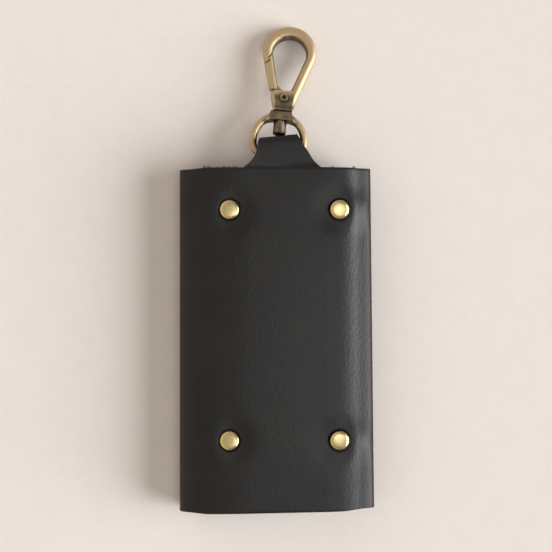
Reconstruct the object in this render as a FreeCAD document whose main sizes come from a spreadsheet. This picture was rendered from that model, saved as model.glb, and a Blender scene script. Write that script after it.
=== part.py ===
"""A folded leather key case with a swivel clasp, lying on its back.

X runs across the case, Y along it towards the clasp and Z up, away from the table.
All lengths are millimetres. The case is drawn about its own centre, and frame_y then
moves everything so that the origin is under the middle of the whole part.
"""

import FreeCAD
import Part
import Sketcher
import math
import os
import re

doc = FreeCAD.newDocument("key_case")
sheet = doc.addObject("Spreadsheet::Sheet", "sizes")

# Sizes that can be set one by one
SIZES = {
    "case_width": (65.0, "outside width of the closed case, over both rolled folds"),
    "case_height": (116.0, "height of the leather body"),
    "leather": (1.5, "thickness of the body leather"),
    "interior": (8.3, "clear height between the inner flap and the middle panel"),
    "flap_gap": (2.2, "space between the flaps, taken up by a closed snap"),
    "outer_reach": (18.0, "free edge of the outer flap, right of the case's middle"),
    "flap_corner": (5.0, "corner radius of the free edges"),
    "upper_rivet": (14.2, "upper rivets below the top edge"),
    "lower_rivet": (24.3, "lower rivets above the bottom edge"),
    "rivet_cap": (7.0, "diameter of a rivet cap"),
    "rivet_dome": (1.0, "height of a rivet cap"),
    "rivet_rim": (0.3, "straight rim of a rivet cap"),
    "rivet_post": (2.6, "diameter of a rivet post"),
    "rivet_back": (6.0, "diameter of a rivet back"),
    "back_height": (1.0, "height of a rivet back"),
    "back_wall": (0.35, "metal left below the post in a rivet back"),
    "plate_left": (5.2, "left end of the key plates from the left fold"),
    "plate_right": (1.65, "right end of the key plates from the right fold"),
    "plate_end": (4.0, "key plate beyond the middle of its rivets"),
    "plate_depth": (9.0, "depth of a key plate"),
    "plate_corner": (3.5, "corner radius of a key plate"),
    "plate_sheet": (0.8, "sheet thickness of a key plate"),
    "flange_end": (3.0, "flange beyond the outer key hooks"),
    "flange_drop": (3.9, "height of the flange below the plate"),
    "flange_corner": (1.5, "corner radius of the flange"),
    "hook_drop": (2.8, "swivel axis of the key hooks below the plate's seat"),
    "hook_pitch": (8.0, "spacing of the key hooks"),
    "hook_length": (20.0, "length of a key hook from the flange"),
    "hook_width": (5.0, "width of a key hook"),
    "hook_wire": (1.2, "width of a key hook's limbs"),
    "hook_gauge": (1.6, "thickness of a key hook"),
    "hook_mouth": (5.6, "where a key hook's mouth starts, from the flange"),
    "hook_nose": (12.6, "where a key hook's nose ends, from the flange"),
    "nose_bevel": (0.4, "bevel under a key hook's nose"),
    "post_width": (1.5, "diameter of a key hook's swivel post"),
    "post_head": (2.6, "diameter of the head on that post"),
    "head_height": (0.6, "height of the head on that post"),
    "collar_width": (3.0, "diameter of a key hook's collar"),
    "collar_height": (1.0, "height of a key hook's collar"),
    "tongue_gauge": (0.4, "thickness of a spring tongue"),
    "tongue_eye": (1.2, "diameter of a tongue's rolled end"),
    "tongue_set": (0.36, "middle of a tongue's rolled end behind the mouth's edge"),
    "tongue_lap": (1.0, "overlap of a tongue behind the nose"),
    "running_fit": (0.06, "radial clearance of the turning fits"),
    "end_play": (0.1, "axial clearance of the turning fits"),
    "snap_inset": (9.0, "snaps from the outer flap's free edge"),
    "snap_margin": (8.0, "inner flap's leather beyond the snaps"),
    "snap_end": (13.0, "snaps from the top and bottom edges"),
    "snap_cap": (10.0, "diameter of a snap cap"),
    "cap_height": (0.8, "height of a snap cap"),
    "snap_post": (3.0, "diameter of a snap cap's post"),
    "socket_width": (8.4, "diameter of a snap socket"),
    "socket_height": (1.7, "height of a snap socket"),
    "socket_floor": (0.3, "metal left below the stud in a socket"),
    "stud_width": (3.6, "diameter of a snap stud's knob"),
    "stud_base": (7.6, "diameter of a snap stud's base"),
    "base_height": (0.35, "height of a snap stud's base"),
    "stud_play": (0.2, "clearance around the knob in the socket"),
    "eyelet_width": (7.2, "diameter of the eyelet behind a stud"),
    "eyelet_height": (0.35, "height of that eyelet"),
    "eyelet_post": (2.0, "diameter of that eyelet's tube"),
    "tab_leather": (1.3, "thickness of the hanger tab's leather"),
    "tab_offset": (0.8, "hanger tab right of the case's middle"),
    "wing_margin": (4.0, "tab leather beside the rivets"),
    "neck_step": (1.8, "flat edge of a wing between its corner and the flare"),
    "tab_waist": (18.4, "width of the tab where its flare starts"),
    "flare_bow": (0.865, "radius of the flare for each millimetre of its chord"),
    "waist_height": (4.6, "start of the flare above the case's top edge"),
    "wing_depth": (1.4, "end of the flare below the case's top edge"),
    "tab_margin": (5.0, "tab leather below the rivets"),
    "tab_root": (6.5, "where the plies part, below the case's top edge"),
    "tab_belly": (0.6, "where the loop is full, above the case's top edge"),
    "wing_corner": (3.0, "corner radius of the tab's wings"),
    "tab_side_gap": (1.0, "clearance beside the tab in the eye"),
    "loop_slack": (1.1, "clearance above and below the eye's wire in the loop"),
    "loop_play": (2.05, "straight length of the loop beyond the eye's pivot"),
    "eye_stand": (5.35, "eye's pivot above the case's top edge"),
    "eye_pivot": (1.65, "eye's pivot above its lowest wire, where the bent wire rocks in the loop"),
    "clasp_x": (0.3, "clasp right of the case's middle"),
    "clasp_yaw": (5.2, "turn of the clasp to the right, in degrees"),
    "eye_radius": (8.6, "radius of the eye to the middle of its wire"),
    "eye_wire": (2.5, "thickness of the eye's wire"),
    "eye_drop": (5.8, "lowest wire below the eye's centre"),
    "eye_corner": (5.0, "corner radius of the eye's lower half"),
    "boss_top_width": (6.9, "width of the eye's boss on the hook's side"),
    "boss_low_width": (10.6, "width of the eye's boss where it meets the ring"),
    "boss_arch": (0.9, "rise of the arch under the boss"),
    "boss_seat": (0.2, "flat of that arch beyond the swivel pin's head"),
    "boss_round": (0.5, "edge radius of the boss"),
    "boss_inset": (0.75, "boss below the eye's inner edge"),
    "boss_depth": (5.0, "depth of the boss"),
    "swivel_width": (2.6, "diameter of the swivel pin"),
    "swivel_head": (4.4, "diameter of the swivel pin's head"),
    "head_clear": (0.35, "swivel pin's head from the end of the tab's loop"),
    "head_cup": (0.6, "depth of the cup in that head"),
    "swivel_seat": (1.4, "length of the pin in the hook's block"),
    "swivel_gap": (0.1, "axial clearance of the swivel"),
    "bight_radius": (5.75, "inner radius of the hook's round end"),
    "bight_x": (1.05, "centre of the round end beside the swivel axis"),
    "bight_rise": (20.45, "centre of the round end above the block's foot"),
    "crown_shift": (0.65, "outer circle of the round end beyond the inner one"),
    "hook_bar": (3.15, "width of the hook's bar"),
    "clasp_depth": (4.6, "depth of the hook"),
    "hook_round": (1.5, "edge radius of the hook's bar"),
    "left_taper": (15.6, "slant of the hook's left side, in degrees"),
    "right_taper": (18.9, "slant of the hook's right side, in degrees"),
    "block_height": (7.1, "height of the block"),
    "block_bevel": (1.6, "bevel of the block's upper left corner"),
    "lip_height": (1.3, "height of the lip round the block's foot"),
    "lip_proud": (0.25, "how far that lip stands out"),
    "lip_round": (0.35, "edge radius of that lip"),
    "pin_x": (0.45, "gate pin beside the swivel axis"),
    "pin_rise": (4.65, "gate pin above the block's foot"),
    "pin_width": (1.6, "diameter of the gate pin"),
    "pin_head": (3.1, "diameter of the gate pin's heads"),
    "pin_proud": (0.45, "height of the gate pin's heads"),
    "pin_cup": (1.5, "diameter of the cup in the gate pin's heads"),
    "cup_floor": (0.05, "floor of that cup above the hook's face"),
    "gate_eye": (3.4, "diameter of the gate's eye"),
    "gate_depth": (4.2, "depth of the gate"),
    "gate_round": (1.15, "edge radius of the gate"),
    "gate_shoulder": (0.45, "gate above the block"),
    "gate_foot": (2.95, "width of the gate's foot"),
    "gate_inset": (0.1, "gate's tip inside the circle of the round end"),
    "gate_gap": (0.3, "gap between the gate and the hook's nose"),
    "tail_gauge": (2.2, "thickness of the gate's tail"),
    "slot_play": (0.1, "clearance on each side of the tail"),
    "slot_room": (0.3, "clearance round the gate's eye in the slot"),
    "lap_drop": (4.1, "lowest point of the nose below the round end's centre"),
    "lap_step": (1.25, "height of the first step of the lap"),
    "lap_hook": (0.9, "height of the second step of the lap"),
    "lap_depth": (1.6, "depth of the first step of the lap"),
    "lap_back": (0.7, "how far the second step goes back"),
    "spring_gauge": (0.3, "thickness of the gate's leaf spring"),
    "spring_width": (2.0, "width of the gate's leaf spring"),
    "spring_rise": (0.6, "bow of the gate's leaf spring"),
}

# Sizes that follow from them
DERIVED = {
    "case_top": "case_height / 2",
    "outer_top": "cap_height + leather",
    "inner_low": "outer_top + flap_gap",
    "inner_top": "inner_low + leather",
    "panel_low": "inner_top + interior",
    "panel_top": "panel_low + leather",
    "left_radius": "(panel_top - cap_height) / 2",
    "right_radius": "(panel_top - inner_low) / 2",
    "left_edge": "left_radius - case_width / 2",
    "right_edge": "case_width / 2 - right_radius",
    "left_middle": "cap_height + left_radius",
    "right_middle": "inner_low + right_radius",
    "plate_length": "right_edge - left_edge - plate_left - plate_right",
    "rivet_offset": "(left_edge + plate_left + right_edge - plate_right) / 2",
    "rivet_pitch": "plate_length - 2 * plate_end",
    "flange_length": "3 * hook_pitch + 2 * flange_end",
    "snap_x": "outer_reach - snap_inset",
    "snap_y": "case_top - snap_end",
    "inner_reach": "snap_x - snap_margin",
    "upper_row": "case_top - upper_rivet",
    "lower_row": "lower_rivet - case_top",
    "upper_seat": "panel_low - 2 * tab_leather",
    "back_bore": "back_height - back_wall",
    "hook_half": "hook_width / 2",
    "hook_inner": "hook_half - hook_wire",
    "bight_start": "hook_length - hook_half",
    "tongue_socket": "tongue_eye / 2 + running_fit",
    "tongue_side": "hook_inner - tongue_gauge / 2 - running_fit / 2",
    "tongue_root": "hook_mouth - tongue_set",
    "socket_chord": "sqrt(tongue_socket^2 - (hook_mouth - tongue_root)^2)",
    "loop_height": "eye_wire + 2 * loop_slack",
    "loop_inner": "loop_height / 2",
    "loop_outer": "loop_inner + tab_leather",
    "eye_y": "case_top + eye_stand",
    "eye_z": "panel_low - tab_leather - loop_inner",
    "loop_y": "eye_y + loop_play",
    "loop_low": "eye_z - loop_outer",
    "tab_tail": "upper_row - tab_margin",
    "tab_wing": "rivet_pitch + 2 * wing_margin",
    "tab_neck": "tab_wing - 2 * (wing_corner + neck_step)",
    "tab_mouth": "2 * (eye_radius - eye_wire / 2 - tab_side_gap)",
    "ply_shift": "tab_leather * tan(atan2(loop_height; tab_belly + tab_root) / 2)",
    "flare": "flare_bow * sqrt(((tab_neck - tab_waist) / 2)^2 + (waist_height + wing_depth)^2)",
    "eye_low": "-eye_pivot",
    "eye_side": "eye_radius - eye_corner",
    "boss_top": "eye_low + eye_drop + eye_radius + eye_wire / 2",
    "boss_low": "eye_low + eye_drop + eye_radius - eye_wire / 2 - boss_inset",
    "head_length": "boss_low - swivel_gap - loop_play - loop_outer - head_clear",
    "block_low": "boss_top + swivel_gap",
    "block_top": "block_low + block_height",
    "bight_y": "block_low + bight_rise",
    "crown_y": "bight_y + crown_shift",
    "crown_radius": "bight_radius + hook_bar + crown_shift * sin(right_taper)",
    "outer_left": "bight_x - crown_radius * cos(left_taper)",
    "outer_left_fall": "crown_y - crown_radius * sin(left_taper)",
    "outer_right": "bight_x + crown_radius * cos(right_taper)",
    "outer_right_fall": "crown_y - crown_radius * sin(right_taper)",
    "inner_left": "bight_x - bight_radius * cos(left_taper)",
    "inner_left_fall": "bight_y - bight_radius * sin(left_taper)",
    "inner_right": "bight_x + bight_radius * cos(right_taper)",
    "inner_right_fall": "bight_y - bight_radius * sin(right_taper)",
    "pin_y": "block_low + pin_rise",
    "slot_low": "pin_y - gate_eye / 2 - spring_rise - 2 * spring_gauge",
    "slot_right": "pin_x + gate_eye / 2 + slot_room",
    "gate_low": "block_top + gate_shoulder",
    "lap_low": "bight_y - lap_drop",
    "nose_x": "outer_left + (outer_left_fall - lap_low) * tan(left_taper)",
    "seat_half": "swivel_head / 2 + boss_seat",
    "arch_radius": "((boss_low_width / 2 - seat_half)^2 + boss_arch^2) / (2 * boss_arch)",
}


def bound(text):
    """The expression with each size's name pointed at the sheet."""
    known = SIZES.keys() | DERIVED.keys() | {"frame_y"}
    return re.sub(r"[a-z_]+", lambda m: f"sizes.{m[0]}" if m[0] in known else m[0], text)


def value(text):
    """What the expression comes to, as a plain number."""
    result = sheet.evalExpression(bound(text))
    return float(getattr(result, "Value", result))


def fill_sheet():
    row = 1
    for name, (number, note) in SIZES.items():
        sheet.set(f"A{row}", note)
        sheet.set(f"B{row}", str(number))
        sheet.setAlias(f"B{row}", name)
        row += 1
    for name, formula in DERIVED.items():
        sheet.set(f"A{row}", name)
        sheet.set(f"B{row}", "=" + formula)
        sheet.setAlias(f"B{row}", name)
        row += 1
    doc.recompute()
    return row


def clasp_turn():
    """The clasp's turn: yawed to the right, and tipped until its round end meets the table."""
    rim = value("hook_round")
    reach = value("crown_y + crown_radius") - rim
    half = value("clasp_depth / 2") - rim
    fall = value("eye_z") - rim
    tip = math.degrees(math.asin(fall / math.hypot(reach, half)) - math.atan2(half, reach))
    yaw = FreeCAD.Rotation(FreeCAD.Vector(0, 0, 1), -value("clasp_yaw"))
    return yaw * FreeCAD.Rotation(FreeCAD.Vector(1, 0, 0), -tip)


def clasp_end(turn):
    """How far the tipped clasp reaches along Y, from the eye's pivot."""
    towards = turn.inverted().multVec(FreeCAD.Vector(0, 1, 0))
    rim = value("hook_round")
    flat = math.hypot(towards.x, towards.y) * (value("crown_radius") - rim)
    deep = abs(towards.z) * (value("clasp_depth / 2") - rim)
    return towards.x * value("bight_x") + towards.y * value("crown_y") + flat + deep + rim


def plane_of(body, role):
    return next(item for item in body.Origin.OriginFeatures if item.Role == role)


def new_body(label, x="0", y="0", z="0", turn=0):
    """A body whose own origin sits at x, y, z of the case, turned about Z."""
    body = doc.addObject("PartDesign::Body", label)
    body.Label = label
    body.Placement = FreeCAD.Placement(
        FreeCAD.Vector(), FreeCAD.Rotation(FreeCAD.Vector(0, 0, 1), turn)
    )
    body.setExpression("Placement.Base.x", bound(x))
    body.setExpression("Placement.Base.y", bound(f"frame_y + {y}"))
    body.setExpression("Placement.Base.z", bound(z))
    return body


def clasp_body(label):
    """A body drawn in the clasp's own frame: its origin is the eye's pivot in the tab's loop."""
    body = new_body(label, "clasp_x", "eye_y", "eye_z")
    body.Placement = FreeCAD.Placement(body.Placement.Base, CLASP_TURN)
    return body


def new_sketch(body, role, across="0", lift="0"):
    sketch = body.newObject("Sketcher::SketchObject", f"{body.Label}_sketch")
    sketch.AttachmentSupport = [(plane_of(body, role), "")]
    sketch.MapMode = "FlatFace"
    sketch.setExpression("AttachmentOffset.Base.x", bound(across))
    sketch.setExpression("AttachmentOffset.Base.z", bound(lift))
    return sketch


def hold(sketch, kind, places, text):
    """One dimension of the sketch, bound to an expression of the sheet."""
    index = sketch.addConstraint(Sketcher.Constraint(kind, *places, value(text)))
    sketch.setExpression(f"Constraints[{index}]", bound(text))


def add_edge(sketch, start, end, corner):
    """A line to the corner, or an arc where the corner has a radius. Returns its end numbers."""
    if len(corner) == 2:
        sketch.addGeometry(Part.LineSegment(start, end))
        return 1, 2
    radius = value(corner[2])
    chord = end - start
    rise = math.sqrt(max(radius**2 - chord.Length**2 / 4, 0))
    side = FreeCAD.Vector(-chord.y, chord.x, 0).normalize()
    clockwise = len(corner) == 4
    centre = (start + end) / 2 + side * (-rise if clockwise else rise)
    first, last = (end, start) if clockwise else (start, end)
    angles = [math.atan2(p.y - centre.y, p.x - centre.x) for p in (first, last)]
    circle = Part.Circle(centre, FreeCAD.Vector(0, 0, 1), radius)
    sketch.addGeometry(Part.ArcOfCircle(circle, *angles))
    return (2, 1) if clockwise else (1, 2)


def add_loop(sketch, corners):
    """A closed outline through (x, y) corners.

    A third entry is the radius of the arc that arrives there, anticlockwise, or clockwise
    with a fourth entry. Each corner and radius is bound to the sheet.
    """
    points = [FreeCAD.Vector(value(c[0]), value(c[1]), 0) for c in corners]
    base = sketch.GeometryCount
    count = len(corners)
    ends = []
    for i in range(count):
        following = (i + 1) % count
        ends.append(add_edge(sketch, points[i], points[following], corners[following]))
    joins = []
    for i in range(count):
        following = (i + 1) % count
        joins.append(
            Sketcher.Constraint(
                "Coincident", base + i, ends[i][1], base + following, ends[following][0]
            )
        )
    sketch.addConstraint(joins)
    for i, corner in enumerate(corners):
        hold(sketch, "DistanceX", (-1, 1, base + i, ends[i][0]), corner[0])
        hold(sketch, "DistanceY", (-1, 1, base + i, ends[i][0]), corner[1])
        if len(corner) > 2:
            hold(sketch, "Radius", (base + (i - 1) % count,), corner[2])


def add_hole(sketch, x, y, radius):
    centre = FreeCAD.Vector(value(x), value(y), 0)
    circle = Part.Circle(centre, FreeCAD.Vector(0, 0, 1), value(radius))
    index = sketch.addGeometry(circle)
    hold(sketch, "DistanceX", (-1, 1, index, 3), x)
    hold(sketch, "DistanceY", (-1, 1, index, 3), y)
    hold(sketch, "Radius", (index,), radius)


def pad(body, sketch, length, both=True):
    feature = body.newObject("PartDesign::Pad", f"{body.Label}_pad")
    feature.Profile = sketch
    feature.setExpression("Length", bound(length))
    if both:
        feature.SideType = "Symmetric"
    return feature


def cut(body, sketch, length=None):
    """A cut to both sides of the sketch, right through unless a length is given."""
    feature = body.newObject("PartDesign::Pocket", f"{body.Label}_cut")
    feature.Profile = sketch
    feature.SideType = "Symmetric"
    if length is None:
        feature.Type = "ThroughAll"
    else:
        feature.setExpression("Length", bound(length))
    return feature


def turned(body, sketch):
    """A full turn of the sketch about its own vertical axis."""
    feature = body.newObject("PartDesign::Revolution", f"{body.Label}_turn")
    feature.Profile = sketch
    feature.ReferenceAxis = (sketch, ["V_Axis"])
    feature.Angle = 360
    return feature


def round_edges(body, feature, radius, chosen):
    """Rounds the feature's edges that the chosen test picks."""
    doc.recompute()
    names = [f"Edge{i}" for i, edge in enumerate(feature.Shape.Edges, 1) if chosen(edge)]
    rounded = body.newObject("PartDesign::Fillet", f"{body.Label}_round")
    rounded.Base = (feature, names)
    rounded.setExpression("Radius", bound(radius))
    return rounded


def turned_piece(label, corners, x, y, z):
    body = new_body(label, x, y, z)
    sketch = new_sketch(body, "XZ_Plane")
    add_loop(sketch, corners)
    turned(body, sketch)
    return body


def group(label, members):
    """Like pieces that share one node, as separate solids."""
    together = doc.addObject("Part::Compound", label)
    together.Label = label
    together.Links = members
    return together


def box_corners(left, low, right, high):
    return [(left, low), (right, low), (right, high), (left, high)]


def rounded_box(left, low, right, high, radius):
    return [
        (f"{left} + {radius}", low, radius),
        (f"{right} - {radius}", low),
        (right, f"{low} + {radius}", radius),
        (right, f"{high} - {radius}"),
        (f"{right} - {radius}", high, radius),
        (f"{left} + {radius}", high),
        (left, f"{high} - {radius}", radius),
        (left, f"{low} + {radius}"),
    ]


def rivet_places():
    """Across, along and the seat of the plate below, for each rivet."""
    places = []
    for row, seat in (("upper_row", "upper_seat"), ("lower_row", "panel_low")):
        for side in ("-", "+"):
            places.append((f"rivet_offset {side} rivet_pitch / 2", row, seat))
    return places


def front_panel():
    body = new_body("front_panel")
    outline = new_sketch(body, "XY_Plane", lift="panel_low")
    add_loop(outline, box_corners("left_edge", "-case_top", "right_edge", "case_top"))
    pad(body, outline, "leather", both=False)
    holes = new_sketch(body, "XY_Plane", lift="panel_low")
    for across, along, _ in rivet_places():
        add_hole(holes, across, along, "rivet_post / 2 + running_fit")
    cut(body, holes)
    return body


def left_fold():
    body = new_body("left_fold")
    section = new_sketch(body, "XZ_Plane")
    inside = "left_radius - leather"
    add_loop(section, [
        ("left_edge", "panel_top"),
        ("left_edge - left_radius", "left_middle", "left_radius"),
        ("left_edge", "cap_height", "left_radius"),
        ("left_edge", "outer_top"),
        (f"left_edge - ({inside})", "left_middle", inside, "clockwise"),
        ("left_edge", "panel_low", inside, "clockwise"),
    ])
    pad(body, section, "case_height")
    return body


def right_fold():
    body = new_body("right_fold")
    section = new_sketch(body, "XZ_Plane")
    inside = "right_radius - leather"
    add_loop(section, [
        ("right_edge", "inner_low"),
        ("right_edge + right_radius", "right_middle", "right_radius"),
        ("right_edge", "panel_top", "right_radius"),
        ("right_edge", "panel_low"),
        (f"right_edge + ({inside})", "right_middle", inside, "clockwise"),
        ("right_edge", "inner_top", inside, "clockwise"),
    ])
    pad(body, section, "case_height")
    return body


def flap(label, corners, lift, hole):
    body = new_body(label)
    outline = new_sketch(body, "XY_Plane", lift=lift)
    add_loop(outline, corners)
    pad(body, outline, "leather", both=False)
    holes = new_sketch(body, "XY_Plane", lift=lift)
    for side in ("-", ""):
        add_hole(holes, "snap_x", f"{side}snap_y", hole)
    cut(body, holes)
    return body


def outer_flap():
    corners = [
        ("left_edge", "-case_top"),
        ("outer_reach - flap_corner", "-case_top"),
        ("outer_reach", "flap_corner - case_top", "flap_corner"),
        ("outer_reach", "case_top - flap_corner"),
        ("outer_reach - flap_corner", "case_top", "flap_corner"),
        ("left_edge", "case_top"),
    ]
    return flap("outer_flap", corners, "cap_height", "snap_post / 2 + running_fit")


def inner_flap():
    corners = [
        ("right_edge", "case_top"),
        ("inner_reach + flap_corner", "case_top"),
        ("inner_reach", "case_top - flap_corner", "flap_corner"),
        ("inner_reach", "flap_corner - case_top"),
        ("inner_reach + flap_corner", "-case_top", "flap_corner"),
        ("right_edge", "-case_top"),
    ]
    return flap("inner_flap", corners, "inner_low", "eyelet_post / 2 + running_fit")


def bell_corners():
    """The tab's outline from above: down its left side from the fold, and up its right side."""
    beyond = "loop_y + loop_outer + leather"
    waist = "case_top + waist_height"
    wing = "case_top - wing_depth"
    tail = "tab_tail - leather"
    return [
        ("-tab_mouth / 2", beyond),
        ("-tab_mouth / 2", "loop_y"),
        ("-tab_waist / 2", waist),
        ("-tab_neck / 2", wing, "flare", "clockwise"),
        ("wing_corner - tab_wing / 2", wing),
        ("-tab_wing / 2", f"{wing} - wing_corner", "wing_corner"),
        ("-tab_wing / 2", tail),
        ("tab_wing / 2", tail),
        ("tab_wing / 2", f"{wing} - wing_corner"),
        ("tab_wing / 2 - wing_corner", wing, "wing_corner"),
        ("tab_neck / 2", wing),
        ("tab_waist / 2", waist, "flare", "clockwise"),
        ("tab_mouth / 2", "loop_y"),
        ("tab_mouth / 2", beyond),
    ]


def hanger_tab():
    """One strip folded in half: a loop for the eye, and two plies held by the upper rivets."""
    body = new_body("hanger_tab", x="tab_offset")
    side = new_sketch(body, "YZ_Plane")
    add_loop(side, [
        ("tab_tail", "panel_low"),
        ("tab_tail", "upper_seat"),
        ("case_top - tab_root", "upper_seat"),
        ("case_top + tab_belly", "loop_low"),
        ("loop_y", "loop_low"),
        ("loop_y + loop_outer", "eye_z", "loop_outer"),
        ("loop_y", "panel_low", "loop_outer"),
    ])
    add_loop(side, [
        ("case_top - tab_root + ply_shift", "panel_low - tab_leather"),
        ("case_top + tab_belly + ply_shift", "loop_low + tab_leather"),
        ("loop_y", "loop_low + tab_leather"),
        ("loop_y + loop_inner", "eye_z", "loop_inner"),
        ("loop_y", "panel_low - tab_leather", "loop_inner"),
    ])
    pad(body, side, "tab_wing")
    bell = new_sketch(body, "XY_Plane")
    add_loop(bell, bell_corners())
    add_loop(bell, box_corners("-tab_wing", "tab_tail - tab_wing", "tab_wing", "loop_y + tab_wing"))
    cut(body, bell)
    holes = new_sketch(body, "XY_Plane")
    for sign in ("-", "+"):
        across = f"rivet_offset - tab_offset {sign} rivet_pitch / 2"
        add_hole(holes, across, "upper_row", "rivet_post / 2 + running_fit")
    cut(body, holes)
    return body


def rivet_caps():
    crown = "rivet_dome - rivet_rim"
    dome = f"((rivet_cap / 2)^2 + ({crown})^2) / (2 * ({crown}))"
    members = []
    for number, (across, along, seat) in enumerate(rivet_places(), 1):
        end = f"{seat} - plate_sheet - back_bore + end_play - panel_top"
        members.append(turned_piece(f"rivet_cap_{number}", [
            ("0", end),
            ("rivet_post / 2", end),
            ("rivet_post / 2", "0"),
            ("rivet_cap / 2", "0"),
            ("rivet_cap / 2", "rivet_rim"),
            ("0", "rivet_dome", dome),
        ], across, along, "panel_top"))
    return group("rivet_caps", members)


def rivet_backs():
    crown = "back_height - rivet_rim"
    dome = f"((rivet_back / 2)^2 + ({crown})^2) / (2 * ({crown}))"
    bore = "rivet_post / 2 + running_fit"
    members = []
    for number, (across, along, seat) in enumerate(rivet_places(), 1):
        members.append(turned_piece(f"rivet_back_{number}", [
            ("0", "-back_height"),
            ("rivet_back / 2", "-rivet_rim", dome),
            ("rivet_back / 2", "0"),
            (bore, "0"),
            (bore, "-back_bore"),
            ("0", "-back_bore"),
        ], across, along, f"{seat} - plate_sheet"))
    return group("rivet_backs", members)


def hook_places():
    """How far each key hook stands from the middle of its plate."""
    return [f"{step} * hook_pitch" for step in (-1.5, -0.5, 0.5, 1.5)]


def key_plate(label, row, seat, turn):
    """A plate with a bent flange; the flange is on the side that the hooks hang from."""
    body = new_body(label, "rivet_offset", row, seat, turn)
    base = new_sketch(body, "XY_Plane", lift="-plate_sheet")
    add_loop(base, rounded_box(
        "-plate_length / 2", "-plate_depth / 2", "plate_length / 2", "plate_depth / 2",
        "plate_corner",
    ))
    for side in ("-", ""):
        add_hole(base, f"{side}rivet_pitch / 2", "0", "rivet_post / 2 + running_fit")
    pad(body, base, "plate_sheet", both=False)
    flange = new_sketch(body, "XZ_Plane", lift="-plate_depth / 2")
    low = "-plate_sheet - flange_drop"
    add_loop(flange, [
        ("-flange_length / 2", "-plate_sheet / 2"),
        ("-flange_length / 2", f"{low} + flange_corner"),
        ("flange_corner - flange_length / 2", low, "flange_corner"),
        ("flange_length / 2 - flange_corner", low),
        ("flange_length / 2", f"{low} + flange_corner", "flange_corner"),
        ("flange_length / 2", "-plate_sheet / 2"),
    ])
    for across in hook_places():
        add_hole(flange, across, "-hook_drop", "post_width / 2 + running_fit")
    pad(body, flange, "plate_sheet", both=False)
    return body


def key_hook(label, x, y, z, turn):
    """A J with a swivel post. Its own Y points from the flange to the bight, its mouth is below."""
    body = new_body(label, x, y, z, turn)
    post = new_sketch(body, "XY_Plane")
    neck = "-plate_sheet - end_play"
    add_loop(post, [
        ("0", f"{neck} - head_height"),
        ("post_head / 2", f"{neck} - head_height"),
        ("post_head / 2", neck),
        ("post_width / 2", neck),
        ("post_width / 2", "end_play"),
        ("collar_width / 2", "end_play"),
        ("collar_width / 2", "collar_height"),
        ("0", "collar_height"),
    ])
    turned(body, post)
    blade = new_sketch(body, "YZ_Plane")
    shoulder = "collar_height + hook_half - hook_gauge / 2"
    add_loop(blade, [
        ("collar_height / 2", "-hook_gauge / 2"),
        ("collar_height", "-hook_gauge / 2"),
        (shoulder, "-hook_half"),
        ("hook_mouth", "-hook_half"),
        ("hook_mouth", "-tongue_side - socket_chord"),
        ("tongue_root - tongue_socket", "-tongue_side", "tongue_socket", "clockwise"),
        ("hook_mouth", "socket_chord - tongue_side", "tongue_socket", "clockwise"),
        ("hook_mouth", "hook_inner"),
        ("bight_start", "hook_inner"),
        ("bight_start + hook_inner", "0", "hook_inner", "clockwise"),
        ("bight_start", "-hook_inner", "hook_inner", "clockwise"),
        ("hook_nose", "-hook_inner"),
        ("hook_nose", "nose_bevel - hook_half"),
        ("hook_nose + hook_wire", "-hook_half"),
        ("bight_start", "-hook_half"),
        ("bight_start + hook_half", "0", "hook_half"),
        ("bight_start", "hook_half", "hook_half"),
        (shoulder, "hook_half"),
        ("collar_height", "hook_gauge / 2"),
        ("collar_height / 2", "hook_gauge / 2"),
    ])
    pad(body, blade, "hook_gauge")
    return body


def hook_tongue(label, x, y, z, turn):
    """A spring strip with a rolled end, which turns in the hook's socket."""
    body = new_body(label, x, y, z, turn)
    outline = new_sketch(body, "YZ_Plane")
    root = "sqrt((tongue_eye / 2)^2 - (tongue_gauge / 2)^2)"
    tip = "hook_nose + tongue_lap - tongue_root"
    add_loop(outline, [
        (root, "tongue_gauge / 2"),
        ("-tongue_eye / 2", "0", "tongue_eye / 2"),
        (root, "-tongue_gauge / 2", "tongue_eye / 2"),
        (tip, "-tongue_gauge / 2"),
        (tip, "tongue_gauge / 2"),
    ])
    pad(body, outline, "hook_gauge")
    return body


def key_row(name, row, seat, turn):
    """A plate with its four hooks and tongues. The upper row is turned to hang downwards."""
    along = "-" if turn else "+"
    pieces = [key_plate(f"{name}_key_plate", row, seat, turn)]
    axis = f"{seat} - hook_drop"
    face = f"{row} {along} plate_depth / 2"
    for number, step in enumerate(hook_places(), 1):
        across = f"rivet_offset + {step}"
        pieces.append(key_hook(f"{name}_key_hook_{number}", across, face, axis, turn))
        root = f"{face} {along} tongue_root"
        side = f"{axis} - tongue_side"
        pieces.append(hook_tongue(f"{name}_hook_tongue_{number}", across, root, side, turn))
    return pieces


def snap_pieces(label, corners, z):
    members = []
    for number, side in enumerate(("", "-"), 1):
        members.append(turned_piece(f"{label}_{number}", corners, "snap_x", f"{side}snap_y", z))
    return group(f"{label}s", members)


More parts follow.
